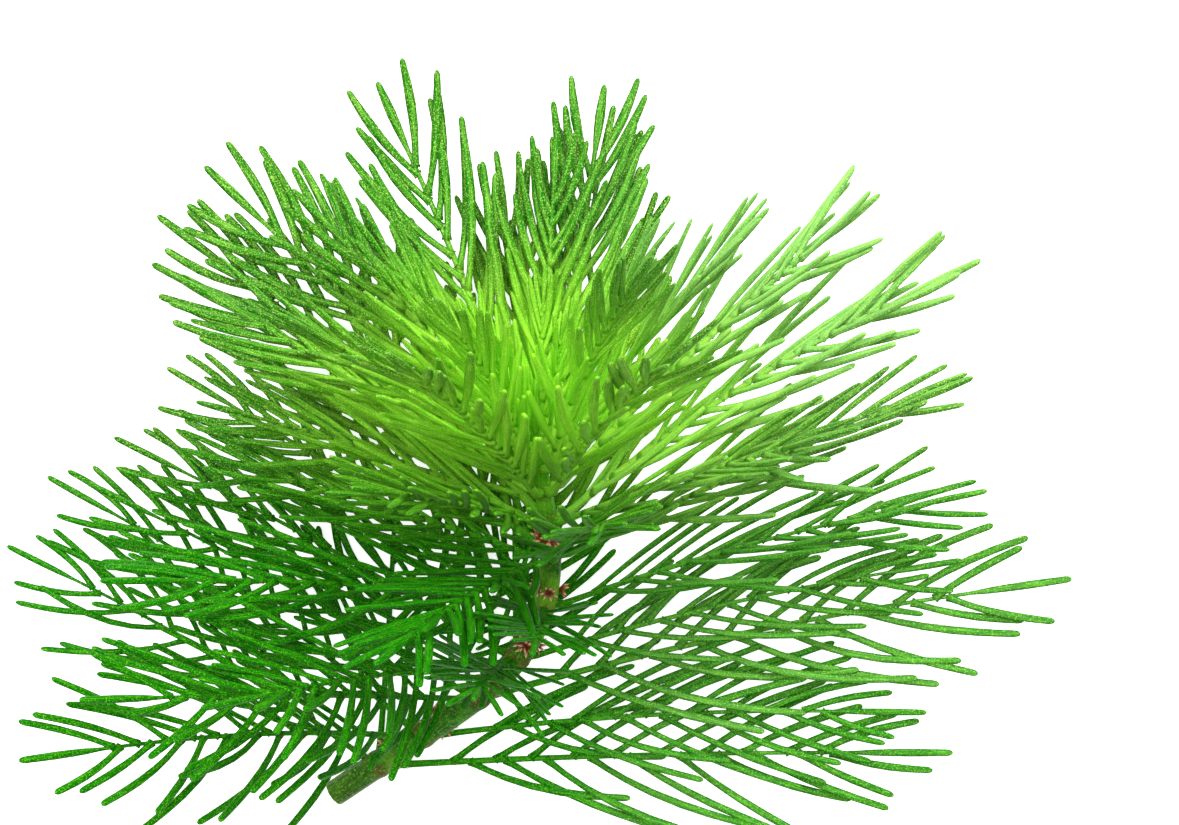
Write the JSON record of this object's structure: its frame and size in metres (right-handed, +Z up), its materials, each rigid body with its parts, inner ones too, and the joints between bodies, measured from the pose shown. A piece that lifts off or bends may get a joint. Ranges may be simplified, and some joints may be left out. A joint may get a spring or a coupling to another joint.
{
  "type": "myriophyllum mattogrossense shoot",
  "caption": "Cut shoot of an aquarium milfoil lying on its side: a curved stem with whorls of green comb-like leaves, spread at the cut end and closing round a bright growing tip.",
  "frame": {"origin": "on the table, under the middle of the shoot's box", "axes": "+Z up from the table, +Y towards the growing tip, +X to the right as the picture shows it"},
  "size_m": [0.0956, 0.071, 0.0471],
  "materials": {
    "stem": "satin",
    "young_leaf": "satin",
    "leaf": "satin",
    "old_leaf": "satin",
    "scales": "matte"
  },
  "bodies": {
    "root": {"stem": "stem", "growing_tip": "young_leaf", "whorl_01_leaf_1": "young_leaf", "whorl_01_leaf_2": "young_leaf", "whorl_01_leaf_3": "young_leaf", "whorl_01_leaf_4": "young_leaf", "whorl_02_leaf_1": "young_leaf", "whorl_02_leaf_2": "young_leaf", "whorl_02_leaf_3": "young_leaf", "whorl_02_leaf_4": "young_leaf", "whorl_03_leaf_1": "young_leaf", "whorl_03_leaf_2": "young_leaf", "whorl_03_leaf_3": "young_leaf", "whorl_03_leaf_4": "young_leaf", "whorl_03_leaf_5": "young_leaf", "whorl_04_leaf_1": "young_leaf", "whorl_04_leaf_2": "young_leaf", "whorl_04_leaf_3": "young_leaf", "whorl_04_leaf_4": "young_leaf", "whorl_04_leaf_5": "young_leaf", "whorl_05_leaf_1": "leaf", "whorl_05_leaf_2": "leaf", "whorl_05_leaf_3": "leaf", "whorl_05_leaf_4": "leaf", "whorl_05_leaf_5": "leaf", "whorl_06_leaf_1": "leaf", "whorl_06_leaf_2": "leaf", "whorl_06_leaf_3": "leaf", "whorl_06_leaf_4": "leaf", "whorl_06_leaf_5": "leaf", "whorl_06_leaf_6": "leaf", "whorl_07_leaf_1": "leaf", "whorl_07_leaf_2": "leaf", "whorl_07_leaf_3": "leaf", "whorl_07_leaf_4": "leaf", "whorl_07_leaf_5": "leaf", "whorl_08_leaf_1": "old_leaf", "whorl_08_leaf_2": "old_leaf", "whorl_08_leaf_3": "old_leaf", "whorl_08_leaf_4": "old_leaf", "whorl_08_leaf_5": "old_leaf", "whorl_09_leaf_1": "old_leaf", "whorl_09_leaf_2": "old_leaf", "whorl_09_leaf_3": "old_leaf", "whorl_09_leaf_4": "old_leaf", "whorl_10_leaf_1": "old_leaf", "whorl_10_leaf_2": "old_leaf", "whorl_10_leaf_3": "old_leaf", "whorl_10_leaf_4": "old_leaf", "whorl_11_leaf_1": "old_leaf", "whorl_11_leaf_2": "old_leaf", "whorl_11_leaf_3": "old_leaf"}
  },
  "joints": []
}
